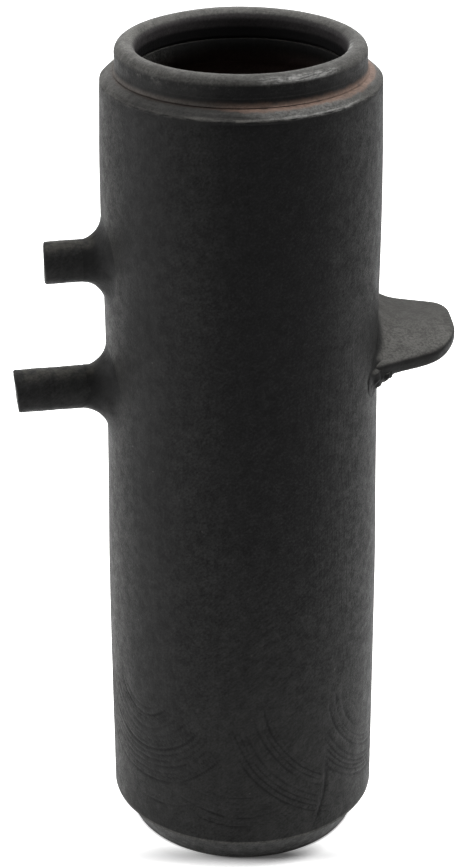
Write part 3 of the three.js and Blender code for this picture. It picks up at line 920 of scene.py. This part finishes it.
def blackenedClay(name, grain, layers, shade=1.0, rootGrain=None, striated=False, contrast=1.0):
    # layers are masks with the colour that each lays over the clay, from the bottom up
    material = bpy.data.materials.new(name)
    material.use_nodes = True
    tree = material.node_tree
    tree.nodes.clear()
    output = addNode(tree, "ShaderNodeOutputMaterial")
    shader = addNode(tree, "ShaderNodeBsdfPrincipled")
    wire(tree, shader.outputs["BSDF"], output.inputs["Surface"])
    shader.inputs["Specular IOR Level"].default_value = clayLook["specular"]
    at = readSurface(tree)

    streak = addStreak(tree, at["place"], grain)
    if rootGrain:
        # a coil's grain follows the wall at its foot and the peg or the ear further out
        outer = addRange(tree, at["radius"], bodyRadius + 1.5 * mm, bodyRadius + 6 * mm)
        both = addNode(tree, "ShaderNodeMix")
        wire(tree, outer, both.inputs[0])
        wire(tree, streak, both.inputs[2])
        wire(tree, addStreak(tree, at["place"], rootGrain), both.inputs[3])
        streak = both.outputs[0]
    turned = addMapping(tree, at["place"], turn=(0, radians(38), 0))
    scratch = addNoise(tree, addMapping(tree, turned, (0.14, 1, 1)), 0.9, 4, 0.65)

    tone = addRange(tree, at["cloud"], 0.32, 0.68, 0, 0.42)
    tone = addMath(tree, "ADD", tone, addRange(tree, at["mottle"], 0.3, 0.7, 0, 0.34))
    tone = addMath(tree, "ADD", tone, addRange(tree, scratch, 0.35, 0.68, 0, 0.12))
    lines = addProduct(tree, addRange(tree, streak, 0.35, 0.68), 0.12)
    tone = addMath(tree, "ADD", tone, lines, clamp=True)
    dark, light = (tuple(part * shade for part in clayLook[key][:3]) + (1,) for key in ("dark", "light"))
    colour = addMix(tree, tone, dark, light)
    colour = addMix(tree, specks(tree, at), colour, clayLook["wearAndHighlight"])
    for mask, key in layers:
        colour = addMix(tree, mask(tree, at), colour, clayLook[key])
    # fine wear lightens and darkens all of it
    wear = addMath(tree, "MULTIPLY_ADD", at["mottle"], 0.5, addProduct(tree, scratch, 0.6))
    wear = addMath(tree, "MULTIPLY_ADD", at["fine"], 1.2, wear)
    lined, gain = 0.25, contrast
    if striated:
        # combed upright at the front right, and roughest there above the scraped part and on the peg side
        band = addProduct(tree, addSector(tree, at, 31, 6, 20), addRange(tree, at["z"], 115 * mm, 150 * mm),
                          addRange(tree, at["z"], 290 * mm, 255 * mm))
        lined = addRange(tree, band, 0, 1, 0.25, 1.4)
        right = addProduct(tree, addSector(tree, at, 22, 42, 78),
                           addRange(tree, at["z"], 50 * mm, 160 * mm, 0.4, 1),
                           addRange(tree, at["z"], shoulderLevel, shoulderLevel - 5 * mm), 2.5)
        pegSide = addRange(tree, addSector(tree, at, -110, 10, 50), 0, 1, contrast, contrast + 0.6)
        gain = addMath(tree, "ADD", right, pegSide)
    combed = addMath(tree, "ADD", addProduct(tree, addMath(tree, "SUBTRACT", streak, 0.5), lined), 1.0)
    share = addMath(tree, "MULTIPLY_ADD", addMath(tree, "SUBTRACT", wear, 1.15), gain, combed)
    shaded = addNode(tree, "ShaderNodeVectorMath", operation="SCALE")
    wire(tree, colour, shaded.inputs[0])
    wire(tree, share, shaded.inputs["Scale"])
    wire(tree, shaded.outputs[0], shader.inputs["Base Color"])

    low, high = clayLook["roughness"]
    shine = addMath(tree, "MULTIPLY_ADD", scratch, 0.4, addProduct(tree, at["mottle"], 0.6))
    wire(tree, addRange(tree, shine, 0.35, 0.65, high, low), shader.inputs["Roughness"])

    normal = addBump(tree, addProduct(tree, streak, lined), clayLook["streakDepth"] * 3)
    normal = addBump(tree, scratch, clayLook["scratchDepth"], normal)
    normal = addBump(tree, at["mottle"], clayLook["mottleDepth"], normal)
    normal = addBump(tree, at["fine"], clayLook["grainDepth"], normal)
    wire(tree, normal, shader.inputs["Normal"])
    return material


print("vase: materials")
wallGrain, pegGrain, earGrain, turnedGrain = (1, 1, 0.06), (1, 0.08, 0.08), (0.2, 1, 1), (0.07, 0.07, 1)
bodyClay = blackenedClay("bodyClay", wallGrain, [
    (paintedShadeCloud, "paintedShade"), (paintedLightLow, "pale"), (paintedGrooveShade, "paintedShade"), (wornAndLitSide, "wearAndHighlight"),
    (shoulderDustAndLight, "dustAndTopLight"), (wornAndLitEdge, "wearAndHighlight"), (shoulderPaintedHighlight, "paintedHighlight"), (wornAndLitHeel, "lipDustAndLight"),
    (bareJoint, "warm"), (deepInside, "inside"),
], striated=True)
collarClay = blackenedClay("collarClay", turnedGrain, [
    (paintedShadeCloud, "paintedShade"), (lipDustAndLight, "lipDustAndLight"), (lipSpeckle, "wearAndHighlight"), (lipPaintedHighlight, "paintedHighlight"),
    (bareJoint, "warm"), (collarInside, "neck"), (paintedInsideShade, "paintedShade"),
], contrast=1.3)
# the foot is the same clay drawn much lighter, which is painted light
footClay = blackenedClay("footClay", turnedGrain, [
    (topDustAndLight, "dustAndTopLight"), (footRim, "lipDustAndLight"),
], shade=4.8, contrast=1.5)
# the pegs are the same clay drawn a third lighter, which is painted light
pegClay = blackenedClay("pegClay", pegGrain, [
    (pegDust, "olive"), (paintedEndShade, "paintedShade"),
], shade=1.32, contrast=1.5)
earClay = blackenedClay("earClay", earGrain, [(earDustAndLight, "earDustAndLight")], contrast=0.5)
pegCoilClay = blackenedClay("pegCoilClay", wallGrain, [
    (paintedShadeCloud, "paintedShade"), (pegDust, "olive"),
], rootGrain=pegGrain)
earCoilClay = blackenedClay("earCoilClay", wallGrain, [
    (paintedShadeCloud, "paintedShade"), (earDustAndLight, "earDustAndLight"), (tornPaintedShade, "paintedShade"),
], rootGrain=earGrain, contrast=0.7)

print("vase: pieces")
makeFoot(footClay)
makeBody(bodyClay)
makeCollar(collarClay)
for name, node in (("upperPeg", "upper_peg"), ("lowerPeg", "lower_peg")):
    makePeg(name, node, pegClay)
    low, high = boxOf(node)
    height, radius = (high.z + low.z) / 2, (high.z - low.z) / 2
    makeCoil(name + "Coil", node, pegSection(radius), height, 0.0, True, pegCoilClay)
makeEar(earClay)
makeCoil("earCoil", "ear", earSection, earHeight, radians(earShape["tilt"]), False, earCoilClay)


# Floor, light and camera

stageLook = {
    "floorSize": 9.0, "floorColour": (0.86, 0.86, 0.86, 1), "world": 0.02,
    "shadowPlace": (7 * mm, -53.5 * mm), "shadowSize": (86 * mm, 10.8 * mm), "shadowShares": (0.19, 1.12),
    "contactFrom": 54.4 * mm, "contactTo": 57 * mm, "darkest": 0.05,
}
lamps = [
    {"name": "overBack", "place": (0, 0.45, 1.75), "size": (1.3, 1.1), "power": 27},
    {"name": "overRight", "place": (0.9, 0.1, 1.5), "size": (0.8, 0.8), "power": 18},
    {"name": "overFront", "place": (0, -0.6, 1.65), "size": (1.2, 0.8), "power": 2},
    {"name": "left", "place": (-1.15, 0.0, 0.5), "size": (0.5, 1.0), "power": 8},
    {"name": "leftFront", "place": (-0.95, -0.7, 0.5), "size": (0.5, 1.0), "power": 1.2},
    {"name": "back", "place": (0, 1.3, 0.7), "size": (1.2, 0.8), "power": 3},
]
photoView = {
    "distance": 1.06729, "height": 0.72116, "pitch": radians(23.251), "roll": -0.00237,
    "lens": 102.02, "shift": (-0.010546, -0.12460),
}


def addSeen(tree):
    # 1 for what the camera sees, also in gloss or through glass
    path = addNode(tree, "ShaderNodeLightPath").outputs
    seen = addMath(tree, "ADD", path["Is Camera Ray"], path["Is Glossy Ray"])
    return addMath(tree, "ADD", seen, path["Is Transmission Ray"], clamp=True)


def addLength(tree, vector):
    made = addNode(tree, "ShaderNodeVectorMath", operation="LENGTH")
    wire(tree, vector, made.inputs[0])
    return made.outputs["Value"]


def makeFloor():
    deselectAll()
    bpy.ops.mesh.primitive_plane_add(size=stageLook["floorSize"])
    floorPlane = bpy.context.object
    floorPlane.name = "floor"
    material = bpy.data.materials.new("floorPaper")
    material.use_nodes = True
    tree = material.node_tree
    tree.nodes.clear()
    output = addNode(tree, "ShaderNodeOutputMaterial")
    paper = addNode(tree, "ShaderNodeBsdfDiffuse")
    paper.inputs["Color"].default_value = stageLook["floorColour"]
    glow = addNode(tree, "ShaderNodeEmission")
    place = addNode(tree, "ShaderNodeTexCoord").outputs["Object"]
    # the paper shines white to the camera, less in the contact shadow and in the soft one in front
    width, depth = stageLook["shadowSize"]
    facing = addMapping(tree, place, turn=(0, 0, -frontTurn))
    aside, ahead = stageLook["shadowPlace"]
    front = addMapping(tree, addMapping(tree, facing, move=(-aside, -ahead, 0)), (1 / width, 1 / depth, 1))
    darkest = stageLook["darkest"]
    fadeFrom, fadeTo = stageLook["shadowShares"]
    soft = addRange(tree, addLength(tree, front), fadeFrom, fadeTo, darkest, kind="LINEAR")
    contactFrom, contactTo = stageLook["contactFrom"], stageLook["contactTo"]
    contact = addRange(tree, addLength(tree, place), contactFrom, contactTo, darkest)
    spread = addMath(tree, "MINIMUM", soft, contact)
    wire(tree, addMath(tree, "MULTIPLY", spread, addSeen(tree)), glow.inputs["Strength"])
    both = addNode(tree, "ShaderNodeAddShader")
    wire(tree, paper.outputs[0], both.inputs[0])
    wire(tree, glow.outputs[0], both.inputs[1])
    wire(tree, both.outputs[0], output.inputs["Surface"])
    floorPlane.data.materials.append(material)


def makeLamp(lamp):
    light = bpy.data.lights.new(lamp["name"], "AREA")
    light.shape = "RECTANGLE"
    light.size, light.size_y = lamp["size"]
    light.energy = lamp["power"]
    held = bpy.data.objects.new(lamp["name"], light)
    bpy.context.collection.objects.link(held)
    turn = Matrix.Rotation(frontTurn, 4, "Z")
    held.location = turn @ Vector(lamp["place"])
    aim = Vector((0, 0, min(0.25, lamp["place"][2] / 2))) - held.location
    held.rotation_euler = aim.to_track_quat("-Z", "Y").to_euler()


def makeWorld():
    world = bpy.data.worlds.new("studio")
    bpy.context.scene.world = world
    world.use_nodes = True
    tree = world.node_tree
    background = tree.nodes["Background"]
    background.inputs["Color"].default_value = (1, 1, 1, 1)
    strength = addRange(tree, addSeen(tree), 0, 1, stageLook["world"], 1, "LINEAR")
    wire(tree, strength, background.inputs["Strength"])


def makeCamera():
    view = photoView
    camera = bpy.data.cameras.new("photoCamera")
    camera.sensor_fit = "VERTICAL"
    camera.sensor_height = 36
    camera.lens = view["lens"]
    camera.shift_x, camera.shift_y = view["shift"]
    held = bpy.data.objects.new("photoCamera", camera)
    bpy.context.collection.objects.link(held)
    stand = Matrix.Rotation(frontTurn, 4, "Z") @ Matrix.Translation((0, -view["distance"], view["height"]))
    tipped = Matrix.Rotation(pi / 2 - view["pitch"], 4, "X") @ Matrix.Rotation(view["roll"], 4, "Z")
    held.matrix_world = stand @ tipped
    bpy.context.scene.camera = held


print("vase: floor, light and camera")
makeFloor()
for lamp in lamps:
    makeLamp(lamp)
makeWorld()
makeCamera()
bpy.context.scene.view_settings.view_transform = "Standard"
